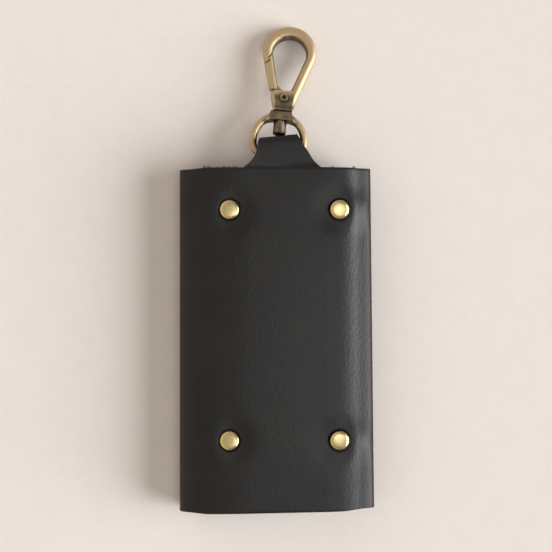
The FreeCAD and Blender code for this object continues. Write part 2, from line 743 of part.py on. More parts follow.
def snaps():
    """Two snaps: cap and socket on the outer flap, stud and eyelet on the inner one."""
    knob = "stud_width / 2"
    reach = "socket_floor + stud_play"
    caps = snap_pieces("snap_cap", [
        ("0", "0"),
        ("snap_cap / 2 - cap_height", "0"),
        ("snap_cap / 2", "cap_height", "cap_height"),
        ("snap_post / 2", "cap_height"),
        ("snap_post / 2", "outer_top"),
        ("0", "outer_top"),
    ], "0")
    sockets = snap_pieces("snap_socket", [
        ("0", "0"),
        ("socket_width / 2", "0"),
        ("socket_width / 2", "socket_height / 2"),
        (f"{knob} + stud_play + socket_floor", "socket_height"),
        (f"{knob} + stud_play", "socket_height"),
        (f"{knob} + stud_play", "socket_floor"),
        ("0", "socket_floor"),
    ], "outer_top")
    studs = snap_pieces("snap_stud", [
        ("0", f"{reach} - flap_gap"),
        (f"{knob} - stud_play", f"{reach} - flap_gap"),
        (knob, f"{reach} + stud_play - flap_gap"),
        (knob, "-base_height"),
        ("stud_base / 2", "-base_height"),
        ("stud_base / 2", "0"),
        ("0", "0"),
    ], "inner_low")
    eyelets = snap_pieces("snap_eyelet", [
        ("0", "-leather"),
        ("eyelet_post / 2", "-leather"),
        ("eyelet_post / 2", "0"),
        ("eyelet_width / 2", "0"),
        ("eyelet_width / 2 - eyelet_height", "eyelet_height", "eyelet_height"),
        ("0", "eyelet_height"),
    ], "inner_top")
    return [caps, sockets, studs, eyelets]


def swivel_eye():
    """A round wire eye with a drilled, arched boss that carries the hook."""
    body = clasp_body("swivel_eye")
    boss = new_sketch(body, "XY_Plane")
    add_loop(boss, [
        ("-boss_low_width / 2", "boss_low - boss_arch"),
        ("-seat_half", "boss_low", "arch_radius", "clockwise"),
        ("seat_half", "boss_low"),
        ("boss_low_width / 2", "boss_low - boss_arch", "arch_radius", "clockwise"),
        ("boss_top_width / 2", "boss_top"),
        ("-boss_top_width / 2", "boss_top"),
    ])
    solid = pad(body, boss, "boss_depth")
    face = value("boss_depth / 2")

    def round_face(edge):
        heights = [v.Z for v in edge.Vertexes]
        return abs(sum(heights) / len(heights)) > face - 1e-6

    round_edges(body, solid, "boss_round", round_face)
    path = new_sketch(body, "XY_Plane")
    add_loop(path, [
        ("0", "eye_low"),
        ("eye_side", "eye_low"),
        ("eye_radius", "eye_low + eye_corner", "eye_corner"),
        ("eye_radius", "eye_low + eye_drop"),
        ("0", "eye_low + eye_drop + eye_radius", "eye_radius"),
        ("-eye_radius", "eye_low + eye_drop", "eye_radius"),
        ("-eye_radius", "eye_low + eye_corner"),
        ("-eye_side", "eye_low", "eye_corner"),
    ])
    wire = new_sketch(body, "YZ_Plane")
    add_hole(wire, "eye_low", "0", "eye_wire / 2")
    ring = body.newObject("PartDesign::AdditivePipe", "swivel_eye_ring")
    ring.Profile = wire
    ring.Spine = (path, [])
    bore = new_sketch(body, "XZ_Plane", lift="-boss_top")
    add_hole(bore, "0", "0", "swivel_width / 2 + running_fit")
    cut(body, bore, "2 * (boss_top - boss_low + boss_inset)")
    return body


def swivel_pin():
    """The post that the hook turns on, with its cupped head inside the eye."""
    body = clasp_body("swivel_pin")
    section = new_sketch(body, "XY_Plane")
    top = "boss_low - swivel_gap"
    low = f"{top} - head_length"
    add_loop(section, [
        ("0", f"{low} + head_cup"),
        ("swivel_width / 2", f"{low} + head_cup"),
        ("swivel_width / 2", low),
        ("swivel_head / 2 - head_cup", low),
        ("swivel_head / 2", f"{low} + head_cup", "head_cup"),
        ("swivel_head / 2", top),
        ("swivel_width / 2", top),
        ("swivel_width / 2", "block_low + swivel_seat"),
        ("0", "block_low + swivel_seat"),
    ])
    turned(body, section)
    return body


def slanted(layer, height, side):
    """Where the bar's inner or outer side is at a height, on the left or the right."""
    inward = "+" if side == "left" else "-"
    return f"({layer}_{side} {inward} ({layer}_{side}_fall - ({height})) * tan({side}_taper))"


def lap_corners(shift_x="0", shift_y="0"):
    """The stepped lap between the nose and the gate, from the outside to the inside."""
    return [
        (f"nose_x + lap_depth + {shift_x}", f"lap_low + lap_step + {shift_y}"),
        (f"nose_x + lap_depth - lap_back + {shift_x}", f"lap_low + lap_step + lap_hook + {shift_y}"),
    ]


def clasp_hook():
    """The cast hook: a pear of even bar over a slotted block."""
    body = clasp_body("clasp_hook")
    foot = "block_low + lip_height"
    stub = "lap_low - hook_bar"
    arm = new_sketch(body, "XY_Plane")
    add_loop(arm, [
        (slanted("inner", foot, "right"), foot),
        (slanted("outer", foot, "right"), foot),
        ("outer_right", "outer_right_fall"),
        ("bight_x", "crown_y + crown_radius", "crown_radius"),
        ("outer_left", "outer_left_fall", "crown_radius"),
        (slanted("outer", stub, "left"), stub),
        (slanted("inner", stub, "left"), stub),
        ("inner_left", "inner_left_fall"),
        ("bight_x", "bight_y + bight_radius", "bight_radius", "clockwise"),
        ("inner_right", "inner_right_fall", "bight_radius", "clockwise"),
    ])
    bar = pad(body, arm, "clasp_depth")
    face = value("clasp_depth / 2")
    ends = (value(foot), value(stub))

    def along_bar(edge):
        flat = all(abs(abs(v.Z) - face) < 1e-6 for v in edge.Vertexes)
        across = all(min(abs(v.Y - end) for end in ends) < 1e-6 for v in edge.Vertexes)
        return flat and not across

    round_edges(body, bar, "hook_round", along_bar)
    left = slanted("outer", "block_low", "left")
    right = slanted("outer", "block_low", "right")
    bevel_low = "block_top - block_bevel"
    block = new_sketch(body, "XY_Plane")
    add_loop(block, [
        (left, "block_low"),
        (right, "block_low"),
        (slanted("outer", "block_top", "right") + " - hook_bar / 2", "block_top"),
        (slanted("outer", "block_top", "left") + " + block_bevel", "block_top"),
        (slanted("outer", bevel_low, "left"), bevel_low),
    ])
    pad(body, block, "clasp_depth")
    lip = new_sketch(body, "YZ_Plane", lift=f"({left} + {right}) / 2")
    lip_face = "clasp_depth / 2 + lip_proud"
    add_loop(lip, rounded_box("block_low", f"-({lip_face})", foot, lip_face, "lip_round"))
    pad(body, lip, f"{right} - {left} + 2 * lip_proud")
    lap = new_sketch(body, "XY_Plane")
    add_loop(lap, [
        ("nose_x - hook_bar", "lap_low"),
        ("nose_x - hook_bar", "lap_low - 2 * hook_bar"),
        ("bight_x", "lap_low - 2 * hook_bar"),
        ("bight_x", "bight_y"),
        ("bight_x - bight_radius", "bight_y"),
        *reversed(lap_corners()),
        ("nose_x", "lap_low"),
    ])
    cut(body, lap)
    slot = new_sketch(body, "XY_Plane")
    beyond = "block_top + gate_shoulder"
    add_loop(slot, box_corners(f"{left} - 2 * hook_bar", "slot_low", "slot_right", beyond))
    cut(body, slot, "tail_gauge + 2 * slot_play")
    bores = new_sketch(body, "XY_Plane")
    add_hole(bores, "pin_x", "pin_y", "pin_width / 2 + running_fit / 2")
    cut(body, bores)
    seat = new_sketch(body, "XZ_Plane", lift="-block_low")
    add_hole(seat, "0", "0", "swivel_width / 2 + running_fit / 2")
    cut(body, seat, "2 * (swivel_seat + end_play)")
    return body


def clasp_gate():
    """The gate: a bar that laps inside the nose, and a thin tail on the gate pin."""
    body = clasp_body("clasp_gate")
    drop = "gate_gap / 2"
    tip = f"lap_low - {drop}"
    inside = "bight_x - bight_radius + gate_inset"
    foot_left = slanted("outer", "gate_low", "left")
    bar = new_sketch(body, "XY_Plane")
    add_loop(bar, [
        (foot_left, "gate_low"),
        (f"{foot_left} + gate_foot", "gate_low"),
        (inside, "bight_y - 2 * gate_gap"),
        *reversed(lap_corners("gate_gap", f"-{drop}")),
        (slanted("outer", tip, "left"), f"{tip} - {drop}"),
    ])
    solid = pad(body, bar, "gate_depth")
    face = value("gate_depth / 2")
    low = value("gate_low")
    lap = value("lap_low") - value("gate_gap")

    def along_gate(edge):
        flat = all(abs(abs(v.Z) - face) < 1e-6 for v in edge.Vertexes)
        heights = sorted(v.Y for v in edge.Vertexes)
        return flat and heights[0] < low + 1e-6 and heights[-1] > lap - 1e-6

    round_edges(body, solid, "gate_round", along_gate)
    tail = new_sketch(body, "XY_Plane")
    width = "gate_eye / 2 * cos(45)"
    add_loop(tail, [
        (f"pin_x - {width}", f"pin_y - {width}"),
        (f"pin_x + {width}", f"pin_y + {width}"),
        (f"{foot_left} + gate_foot", "gate_low + gate_round"),
        (f"{foot_left} + gate_round", "gate_low + gate_round"),
    ])
    pad(body, tail, "tail_gauge")
    eye = new_sketch(body, "XY_Plane")
    add_hole(eye, "pin_x", "pin_y", "gate_eye / 2")
    pad(body, eye, "tail_gauge")
    bore = new_sketch(body, "XY_Plane")
    add_hole(bore, "pin_x", "pin_y", "pin_width / 2 + running_fit")
    cut(body, bore)
    return body


def gate_pin():
    body = clasp_body("gate_pin")
    section = new_sketch(body, "XZ_Plane", across="pin_x", lift="-pin_y")
    face = "clasp_depth / 2"
    add_loop(section, [
        ("0", f"-{face} - cup_floor"),
        ("pin_cup / 2", f"-{face} - cup_floor"),
        ("pin_cup / 2", f"-{face} - pin_proud"),
        ("pin_head / 2 - pin_proud", f"-{face} - pin_proud"),
        ("pin_head / 2", f"-{face}", "pin_proud"),
        ("pin_width / 2", f"-{face}"),
        ("pin_width / 2", face),
        ("pin_head / 2", face),
        ("pin_head / 2 - pin_proud", f"{face} + pin_proud", "pin_proud"),
        ("pin_cup / 2", f"{face} + pin_proud"),
        ("pin_cup / 2", f"{face} + cup_floor"),
        ("0", f"{face} + cup_floor"),
    ])
    turned(body, section)
    return body


def gate_spring():
    """A bowed leaf in the floor of the slot, which presses on the gate's eye."""
    body = clasp_body("gate_spring")
    bow = new_sketch(body, "XY_Plane")
    half = "slot_right - slot_play - pin_x"
    radius = f"(({half})^2 + spring_rise^2) / (2 * spring_rise)"
    low = "slot_low + slot_play / 2"
    add_loop(bow, [
        (f"pin_x - ({half})", low),
        ("pin_x", f"{low} + spring_rise", radius, "clockwise"),
        (f"pin_x + {half}", low, radius, "clockwise"),
        (f"pin_x + {half}", f"{low} + spring_gauge"),
        ("pin_x", f"{low} + spring_rise + spring_gauge", radius),
        (f"pin_x - ({half})", f"{low} + spring_gauge", radius),
    ])
    pad(body, bow, "spring_width")
    return body


def check(pieces):
    for item in doc.Objects:
        if "Invalid" in item.State or "Error" in item.State:
            raise RuntimeError(f"{item.Label} did not build: {item.State}")
    for piece in pieces:
        if piece.Shape.isNull() or not piece.Shape.isValid() or not piece.Shape.Solids:
            raise RuntimeError(f"{piece.Label} has no sound solid")


def place_frame(row):
    """The shift along Y that puts the origin under the middle of the whole part."""
    ends = (value("eye_y") + clasp_end(CLASP_TURN), -value("case_top"))
    sheet.set(f"A{row}", "shift of the case along the part")
    sheet.set(f"B{row}", repr(-sum(ends) / 2))
    sheet.setAlias(f"B{row}", "frame_y")
    doc.recompute()


last_row = fill_sheet()
CLASP_TURN = clasp_turn()
place_frame(last_row)

pieces = [
    front_panel(),
    left_fold(),
    outer_flap(),
    right_fold(),
    inner_flap(),
    hanger_tab(),
    rivet_caps(),
    rivet_backs(),
    *key_row("upper", "upper_row", "upper_seat", 180),
    *key_row("lower", "lower_row", "panel_low", 0),
    *snaps(),
    swivel_eye(),
    swivel_pin(),
    clasp_hook(),
    clasp_gate(),
    gate_pin(),
    gate_spring(),
]
doc.recompute()
check(pieces)

os.makedirs("parts", exist_ok=True)
for piece in pieces:
    piece.Shape.exportStep(f"parts/{piece.Label}.step")
    solids = piece.Shape.Solids
    print(piece.Label, len(solids), "solid(s)", round(piece.Shape.Volume, 2), "mm3")
print("frame_y", round(value("frame_y"), 4), "clasp turn", CLASP_TURN.toEulerAngles("XYZ"))
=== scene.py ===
"""Dresses a black leather key case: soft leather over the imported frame, metal finishes, a plain stage."""

import math
import random

import bmesh
import bpy
from bpy.props import FloatProperty, FloatVectorProperty, PointerProperty
from mathutils import Matrix, Vector
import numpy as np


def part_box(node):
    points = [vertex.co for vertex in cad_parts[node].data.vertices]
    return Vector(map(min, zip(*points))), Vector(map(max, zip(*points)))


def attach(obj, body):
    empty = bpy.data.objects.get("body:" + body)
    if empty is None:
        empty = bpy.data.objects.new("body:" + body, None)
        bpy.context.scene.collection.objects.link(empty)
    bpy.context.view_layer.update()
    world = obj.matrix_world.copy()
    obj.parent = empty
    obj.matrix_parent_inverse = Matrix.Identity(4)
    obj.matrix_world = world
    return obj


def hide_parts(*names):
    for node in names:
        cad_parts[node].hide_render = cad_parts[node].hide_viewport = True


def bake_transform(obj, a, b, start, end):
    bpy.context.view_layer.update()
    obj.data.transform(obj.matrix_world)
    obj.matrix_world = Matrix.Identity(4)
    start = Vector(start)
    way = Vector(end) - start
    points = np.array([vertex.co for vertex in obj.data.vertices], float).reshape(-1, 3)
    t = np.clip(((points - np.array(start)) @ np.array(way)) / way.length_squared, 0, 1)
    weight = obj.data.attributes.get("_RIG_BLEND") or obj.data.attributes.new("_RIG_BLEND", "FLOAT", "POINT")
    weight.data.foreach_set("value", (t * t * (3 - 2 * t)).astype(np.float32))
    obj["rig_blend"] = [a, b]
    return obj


bl_info = {
    "name": "Leather key case",
    "version": (1, 0, 0),
    "blender": (4, 5, 0),
    "location": "View3D > Sidebar > Key case",
    "description": "Models the soft leather of a key case round its frame and finishes its metal",
    "category": "Object",
}

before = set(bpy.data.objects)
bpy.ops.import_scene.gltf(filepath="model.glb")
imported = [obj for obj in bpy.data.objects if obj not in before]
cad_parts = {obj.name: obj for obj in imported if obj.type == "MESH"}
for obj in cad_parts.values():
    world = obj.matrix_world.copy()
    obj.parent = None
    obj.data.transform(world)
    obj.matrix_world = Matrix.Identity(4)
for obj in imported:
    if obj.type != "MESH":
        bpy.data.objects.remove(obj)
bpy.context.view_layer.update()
MM = 0.001


def span(node):
    """Lowest and highest corner of a node of the frame, in millimetres."""
    low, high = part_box(node)
    return low / MM, high / MM


PANEL_LOW, PANEL_HIGH = span("front_panel")
LEFT_LOW, LEFT_HIGH = span("left_fold")
RIGHT_LOW, RIGHT_HIGH = span("right_fold")
TAB_LOW, TAB_HIGH = span("hanger_tab")
CAPS_LOW, CAPS_HIGH = span("rivet_caps")
EYE_LOW, EYE_HIGH = span("swivel_eye")
OUTER_FREE = span("outer_flap")[1].x
INNER_FREE = span("inner_flap")[0].x
BLOCK_FOOT = span("clasp_hook")[0].y
LEATHER = PANEL_HIGH.z - PANEL_LOW.z
CASE_MIDDLE = (PANEL_LOW.y + PANEL_HIGH.y) / 2
CASE_HALF = (PANEL_HIGH.y - PANEL_LOW.y) / 2
CAP_RADIUS = 3.5
RIVET_COLUMNS = (CAPS_LOW.x + CAP_RADIUS, CAPS_HIGH.x - CAP_RADIUS)
RIVET_ROWS = (CAPS_LOW.y + CAP_RADIUS, CAPS_HIGH.y - CAP_RADIUS)
RIVETS = [(x, y) for x in RIVET_COLUMNS for y in RIVET_ROWS]
RIVET_SINK = 0.3
SEAT_DEPTH = 0.45
SEAT_WIDTH = 0.4
SEAT_RADIUS = 3.36
# Cells of a sheet along the case
ROWS = 116
# Width of the bevel along a cut edge of the leather
EDGE_BEVEL = 0.3
SMOOTH_ANGLE = math.radians(40)
GRAIN, FLESH, EDGE = range(3)
# Most values of a noise lie between these two
NOISE_BAND = (0.3, 0.7)
# Sockets of a mix node that is set to colours
MIX_SHARE, MIX_FIRST, MIX_SECOND, MIX_RESULT = 0, 6, 7, 2


def linear(hex_colour):
    """An sRGB hex colour as linear RGBA."""
    channels = [int(hex_colour[i:i + 2], 16) / 255 for i in (1, 3, 5)]
    return [c / 12.92 if c <= 0.04045 else ((c + 0.055) / 1.055) ** 2.4 for c in channels] + [1.0]


def ease(share):
    """Runs from 0 to 1 with no slope at its ends."""
    share = min(max(share, 0.0), 1.0)
    return share * share * (3 - 2 * share)


def length(name, description, millimetres):
    """A length that can be set in the sidebar."""
    return FloatProperty(
        name=name, description=description, default=millimetres * MM, unit="LENGTH", precision=5
    )


def angle(name, description, degrees):
    """An angle that can be set in the sidebar."""
    return FloatProperty(
        name=name, description=description, default=math.radians(degrees), subtype="ANGLE"
    )


def colour(name, description, hex_colour):
    """A colour that can be set in the sidebar."""
    return FloatVectorProperty(
        name=name, description=description, default=linear(hex_colour), size=4, subtype="COLOR",
        min=0.0, max=1.0,
    )


class KeyCaseLeather(bpy.types.PropertyGroup):
    """Forms and colours of the leather"""

    lift: length("Lift", "How far the panel rises between its rivets", 0.3)
    crown: length("Crown", "Extra rise in the middle of the panel", 0.35)
    dimple: length("Dimple", "How far a rivet's hollow reaches past its cap", 3.9)
    right_start: length("Right shoulder", "Where the panel starts to fall to the right", 16.7)
    right_fall: length("Right fall", "Fall of the panel at its right roll", 2.2)
    left_start: length("Left shoulder", "Where the panel starts to fall to the left", -8.0)
    left_fall: length("Left fall", "Fall of the panel at its left roll", 1.5)
    skew: length("Skew", "How far the lower edge is out of square at each side", 0.72)
    drift: length("Drift", "How far the right roll leans out at the bottom and in at the top", 0.65)
    spread: length("Spread", "How far the left roll bulges out", 0.35)
    curl: length("Curl", "How far the edges draw in at the rolls", 0.6)
    tab: length("Tab leather", "Thickness of the tab", 1.3)
    dark: colour("Dark", "Leather in its dark clouds", "#0e0e0e")
    light: colour("Light", "Leather in its pale clouds", "#161615")
    # Brown at the bends: partly wear, partly a painted warm reflection of the floor on the rolls
    wear_and_reflection: colour("Wear and reflection", "Leather where it bends", "#3b2a20")
    raw: colour("Raw edge", "Cut edge of the leather", "#4a382b")
    flesh: colour("Flesh side", "Napped inside of the leather", "#2b2724")


class KeyCaseMetal(bpy.types.PropertyGroup):
    """Colours of the metal pieces"""

    rivet: colour("Rivet brass", "Pale polished brass of the rivets and snaps", "#e1cc98")
    clasp: colour("Clasp brass", "Rubbed brass of the clasp", "#ccb590")
    # Patina in the clasp's recesses, also used for the painted shade on the sides round its opening and for
    # the darker zone round its block
    patina_and_shade: colour("Patina and shade", "Dark patina in the clasp's recesses", "#3b3730")
    nickel: colour("Nickel", "Nickel plate of the key rows", "#d3d0ca")
    steel: colour("Spring steel", "Bare spring steel", "#a9aaac")


class KeyCaseStage(bpy.types.PropertyGroup):
    """Floor, light and camera"""

    paper: colour("Paper", "Pale paper that the case lies on", "#efe7e0")
    fibre: colour("Paper fibre", "Darker clouds of the paper", "#e8e0d9")
    key: FloatProperty(name="Key light", description="Light on the floor from the lamp", default=0.54)
    fill: FloatProperty(name="Fill light", description="Light of the room at its brightest", default=0.92)
    softbox: FloatProperty(name="Softbox", description="Power of the softbox overhead", default=0.98)
    key_height: angle("Key height", "Lamp above the floor", 22.2)
    key_side: angle("Key side", "Lamp's direction from the right towards the bottom", 10)
    key_size: angle("Key size", "How wide the lamp looks from the case", 46)
    camera_height: length("Camera height", "Camera above the floor", 600.0)
    field: length("Field", "Width of the picture at the case", 186.85)


def set_inputs(tree, node, inputs):
    """Gives each named input of a node a value or a link."""
    for name, given in inputs.items():
        if isinstance(given, bpy.types.NodeSocket):
            tree.links.new(given, node.inputs[name])
        else:
            node.inputs[name].default_value = given


def add_node(tree, kind, inputs, **settings):
    """Adds a node with its settings and its inputs."""
    node = tree.nodes.new(kind)
    for name, setting in settings.items():
        setattr(node, name, setting)
    set_inputs(tree, node, inputs)
    return node


def coordinates(tree, kind):
    """Coordinates of this kind."""
    return add_node(tree, "ShaderNodeTexCoord", {}).outputs[kind]


def per(size_mm):
    """How often a size in millimetres goes into a metre."""
    return 1 / (size_mm * MM)


def noise(tree, place, scale, detail, roughness=0.5):
    """Cloudy noise between 0 and 1."""
    node = add_node(tree, "ShaderNodeTexNoise", {
        "Vector": place, "Scale": scale, "Detail": detail, "Roughness": roughness,
    })
    return node.outputs["Fac"]


def stretched(tree, place, sizes_mm):
    """Coordinates that count in a size of their own along each axis."""
    scale = [per(size) for size in sizes_mm]
    return add_node(tree, "ShaderNodeMapping", {"Vector": place, "Scale": scale}).outputs["Vector"]


def remap(tree, value, band, levels=(0.0, 1.0)):
    """Stretches a band of values over two levels and stops at them."""
    node = add_node(tree, "ShaderNodeMapRange", {
        "Value": value, "From Min": band[0], "From Max": band[1],
        "To Min": levels[0], "To Max": levels[1],
    })
    return node.outputs["Result"]


def mix(tree, share, first, second):
    """Passes from the first colour to the second as the share grows."""
    node = add_node(tree, "ShaderNodeMix", {
        MIX_SHARE: share, MIX_FIRST: first, MIX_SECOND: second,
    }, data_type="RGBA")
    return node.outputs[MIX_RESULT]


def calculate(tree, operation, *values):
    """Works out a number from others."""
    node = add_node(tree, "ShaderNodeMath", dict(enumerate(values)), operation=operation)
    return node.outputs["Value"]


def calculate_vector(tree, operation, *values):
    """Works out a vector from others, or the number that their dot product gives."""
    node = add_node(tree, "ShaderNodeVectorMath", dict(enumerate(values)), operation=operation)
    return node.outputs["Value" if operation == "DOT_PRODUCT" else "Vector"]


def bump(tree, height, strength, depth_mm, under=None):
    """A normal that follows a height, on top of the normal under it."""
    inputs = {"Height": height, "Strength": strength, "Distance": depth_mm * MM}
    if under is not None:
        inputs["Normal"] = under
    return add_node(tree, "ShaderNodeBump", inputs).outputs["Normal"]


def soft_edges(tree, radius_mm, samples):
    """A normal that rounds off the edges."""
    node = add_node(tree, "ShaderNodeBevel", {"Radius": radius_mm * MM}, samples=samples)
    return node.outputs["Normal"]


def finish(name, build, settings):
    """The material of this name, built when it is first asked for."""
    return bpy.data.materials.get(name) or build(name, settings)


def start_finish(name):
    """A new material with its shader, and the piece's own coordinates."""
    made = bpy.data.materials.new(name)
    made.use_nodes = True
    tree = made.node_tree
    return made, tree, tree.nodes["Principled BSDF"], coordinates(tree, "Object")


def waxed_leather(name, colours):
    """Oiled pull-up leather, drum dyed and waxed: dull sheen, fine pores, browner where it bends, from wear
    and from a painted warm reflection of the floor on the rolls.
    """
    cloud_mm, pore_mm, streak_mm, fine_mm = 16.0, 0.85, 1.5, 0.35
    cloud_band, dullness, shine = (0.32, 0.68), (0.36, 0.47), (0.5, 0.19)
    fine_share, strength, depth_mm = 0.5, 0.3, 0.12
    made, tree, shader, place = start_finish(name)
    cloud = noise(tree, place, per(cloud_mm), detail=4.0, roughness=0.6)
    tone = mix(tree, remap(tree, cloud, cloud_band), colours.dark, colours.light)
    # Share of the bend colour: wear, with a painted warm reflection of the floor on the rolls
    wear_and_reflection = add_node(tree, "ShaderNodeAttribute", {}, attribute_name="bend_wear_and_reflection").outputs["Fac"]
    patchy = calculate(tree, "MULTIPLY", wear_and_reflection, cloud)
    pores = stretched(tree, place, (pore_mm, streak_mm, pore_mm))
    pebble = add_node(tree, "ShaderNodeTexVoronoi", {
        "Vector": pores, "Scale": 1.0, "Randomness": 1.0,
    }, feature="SMOOTH_F1").outputs["Distance"]
    fine = noise(tree, place, per(fine_mm), detail=2.0)
    height = calculate(tree, "MULTIPLY_ADD", fine, fine_share, pebble)
    set_inputs(tree, shader, {
        "Base Color": mix(tree, patchy, tone, colours.wear_and_reflection),
        "Normal": bump(tree, height, strength, depth_mm),
        "Roughness": remap(tree, fine, NOISE_BAND, dullness),
        "Specular IOR Level": remap(tree, wear_and_reflection, (0.0, 1.0), shine),
        "IOR": 1.45,
    })
    return made


def raw_edge(name, colours):
    """Cut leather edge, left raw: brown fibres, quite dull."""
    fibre_mm, strength, depth_mm = 0.4, 0.6, 0.15
    made, tree, shader, place = start_finish(name)
    fibre = noise(tree, place, per(fibre_mm), detail=5.0)
    set_inputs(tree, shader, {
        "Base Color": mix(tree, fibre, colours.dark, colours.raw),
        "Normal": bump(tree, fibre, strength, depth_mm),
        "Roughness": 0.85,
    })
    return made


def flesh_side(name, colours):
    """Napped flesh side of dyed leather: short loose fibres, no shine."""
    nap_mm, cloud_mm, strength, depth_mm = 0.5, 7.0, 0.7, 0.2
    made, tree, shader, place = start_finish(name)
    cloud = noise(tree, place, per(cloud_mm), detail=6.0, roughness=0.7)
    nap = noise(tree, place, per(nap_mm), detail=4.0)
    set_inputs(tree, shader, {
        "Base Color": mix(tree, cloud, colours.dark, colours.flesh),
        "Normal": bump(tree, nap, strength, depth_mm),
        "Roughness": 0.95,
        "Sheen Weight": 0.15,
    })
    return made


def pale_brass(name, metal):
    """Pale brass, stamped and polished: bright, with faint rubbing marks."""
    rub_mm, dullness, strength, depth_mm = 0.8, (0.28, 0.38), 0.05, 0.1
    made, tree, shader, place = start_finish(name)
    rub = noise(tree, place, per(rub_mm), detail=5.0, roughness=0.7)
    set_inputs(tree, shader, {
        "Base Color": metal.rivet,
        "Metallic": 1.0,
        "Normal": bump(tree, rub, strength, depth_mm),
        "Roughness": remap(tree, rub, NOISE_BAND, dullness),
    })
    return made


def antique_brass(name, metal, opening, zone_x, zone_half):
    """Cast brass, darkened and rubbed back: gold on the high parts, dark patina in the recesses.

    The sides round the opening get painted shade, and a zone round the block and the boss is painted
    darker. The zone has its middle at zone_x and its half width is zone_half.
    """
    recess_mm, cloud_mm, edge_mm, rub_mm = 2.4, 2.2, 0.35, 0.5
    zone_drop, zone_tall, zone_band = 1.0, 8.0, (0.85, 1.1)
    inner_band, darker = (-0.6, 0.05), (-0.5, 0.0)
    edge_band, edge_gain = (0.8, 0.97), (0.4, 0.0)
    cloud_share, rubbed_band = 0.5, (0.55, 1.15)
    dullness, rubbed_dull, strength, depth_mm = (0.39, 0.5), 0.15, 0.12, 0.1
    made, tree, shader, place = start_finish(name)
    from_opening = calculate_vector(tree, "ADD", place, -opening * MM)
    outward = calculate_vector(tree, "NORMALIZE", from_opening)
    facing = calculate_vector(tree, "DOT_PRODUCT", outward, coordinates(tree, "Normal"))
    zone = Vector((zone_x, BLOCK_FOOT - zone_drop, 0.0))
    from_zone = calculate_vector(tree, "ADD", place, -zone * MM)
    in_zone = calculate_vector(tree, "MULTIPLY", from_zone, (per(zone_half), per(zone_tall), 0.0))
    offset = calculate_vector(tree, "ABSOLUTE", in_zone)
    shares = add_node(tree, "ShaderNodeSeparateXYZ", {"Vector": offset})
    reach = calculate(tree, "MAXIMUM", shares.outputs["X"], shares.outputs["Y"])
    # Painted shade on the sides that face the opening, and a zone round the block and the boss painted
    # darker
    painted_darkening = calculate(
        tree, "MINIMUM", remap(tree, facing, inner_band, darker), remap(tree, reach, zone_band, darker),
    )
    recess = add_node(tree, "ShaderNodeAmbientOcclusion", {"Distance": recess_mm * MM}, samples=8)
    open_side = calculate(tree, "ADD", recess.outputs["AO"], painted_darkening)
    rounded = soft_edges(tree, edge_mm, samples=6)
    true_normal = add_node(tree, "ShaderNodeNewGeometry", {}).outputs["Normal"]
    flatness = calculate_vector(tree, "DOT_PRODUCT", rounded, true_normal)
    open_edge = calculate(tree, "ADD", remap(tree, flatness, edge_band, edge_gain), open_side)
    cloud = noise(tree, place, per(cloud_mm), detail=4.0)
    rub_and_shade = calculate(tree, "MULTIPLY_ADD", cloud, cloud_share, open_edge)
    share = remap(tree, rub_and_shade, rubbed_band)
    rub = noise(tree, place, per(rub_mm), detail=3.0)
    dull = remap(tree, rub, NOISE_BAND, dullness)
    set_inputs(tree, shader, {
        # Patina and painted shade give the dark colour, rubbed parts the gold
        "Base Color": mix(tree, share, metal.patina_and_shade, metal.clasp),
        "Metallic": 1.0,
        "Normal": bump(tree, rub, strength, depth_mm, rounded),
        "Roughness": calculate(tree, "MULTIPLY_ADD", share, rubbed_dull, dull),
    })
    return made


def nickel_plate(name, metal):
    """Steel sheet, stamped and nickel plated: cool, bright and slightly clouded."""
    cloud_mm, edge_mm, dullness = 1.5, 0.2, (0.18, 0.30)
    made, tree, shader, place = start_finish(name)
    cloud = noise(tree, place, per(cloud_mm), detail=4.0)
    set_inputs(tree, shader, {
        "Base Color": metal.nickel,
        "Metallic": 1.0,
        "Normal": soft_edges(tree, edge_mm, samples=4),
        "Roughness": remap(tree, cloud, NOISE_BAND, dullness),
    })
    return made


def spring_steel(name, metal):
    """Rolled spring strip, left bare: grey, with fine lines along the strip."""
    line_mm, run_mm, dullness = 0.15, 6.0, (0.25, 0.42)
    made, tree, shader, place = start_finish(name)
    lines = stretched(tree, place, (line_mm, run_mm, line_mm))
    rolled = noise(tree, lines, 1.0, detail=2.0)
    set_inputs(tree, shader, {
        "Base Color": metal.steel,
        "Metallic": 1.0,
        "Roughness": remap(tree, rolled, NOISE_BAND, dullness),
    })
    return made


def art_paper(name, stage):
    """Uncoated art paper: pale and matt, with a faint tooth and fibres that run one way."""
    tooth_mm, cloud_mm, fibre_mm, run_mm = 1.2, 9.0, 0.6, 1.5
    cloud_band, strength, depth_mm = (0.65, 1.35), 0.1, 0.1
    made, tree, shader, place = start_finish(name)
    cloud = noise(tree, place, per(cloud_mm), detail=6.0, roughness=0.75)
    fibres = stretched(tree, place, (fibre_mm, run_mm, run_mm))
    weave = noise(tree, fibres, 1.0, detail=3.0)
    share = remap(tree, calculate(tree, "ADD", cloud, weave), cloud_band)
    tooth = noise(tree, place, per(tooth_mm), detail=3.0)
    set_inputs(tree, shader, {
        "Base Color": mix(tree, share, stage.paper, stage.fibre),
        "Normal": bump(tree, tooth, strength, depth_mm),
        "Roughness": 0.95,
        "Specular IOR Level": 0.1,
    })
    return made


def leather_finishes(colours):
    """The three faces of a leather piece, in the order GRAIN, FLESH, EDGE."""
    return [
        finish("waxed_pull_up_leather", waxed_leather, colours),
        finish("leather_flesh_side", flesh_side, colours),
        finish("raw_leather_edge", raw_edge, colours),
    ]


def new_object(name, data):
    """Links an object with this data to the scene."""
    made = bpy.data.objects.new(name, data)
    bpy.context.scene.collection.objects.link(made)
    return made


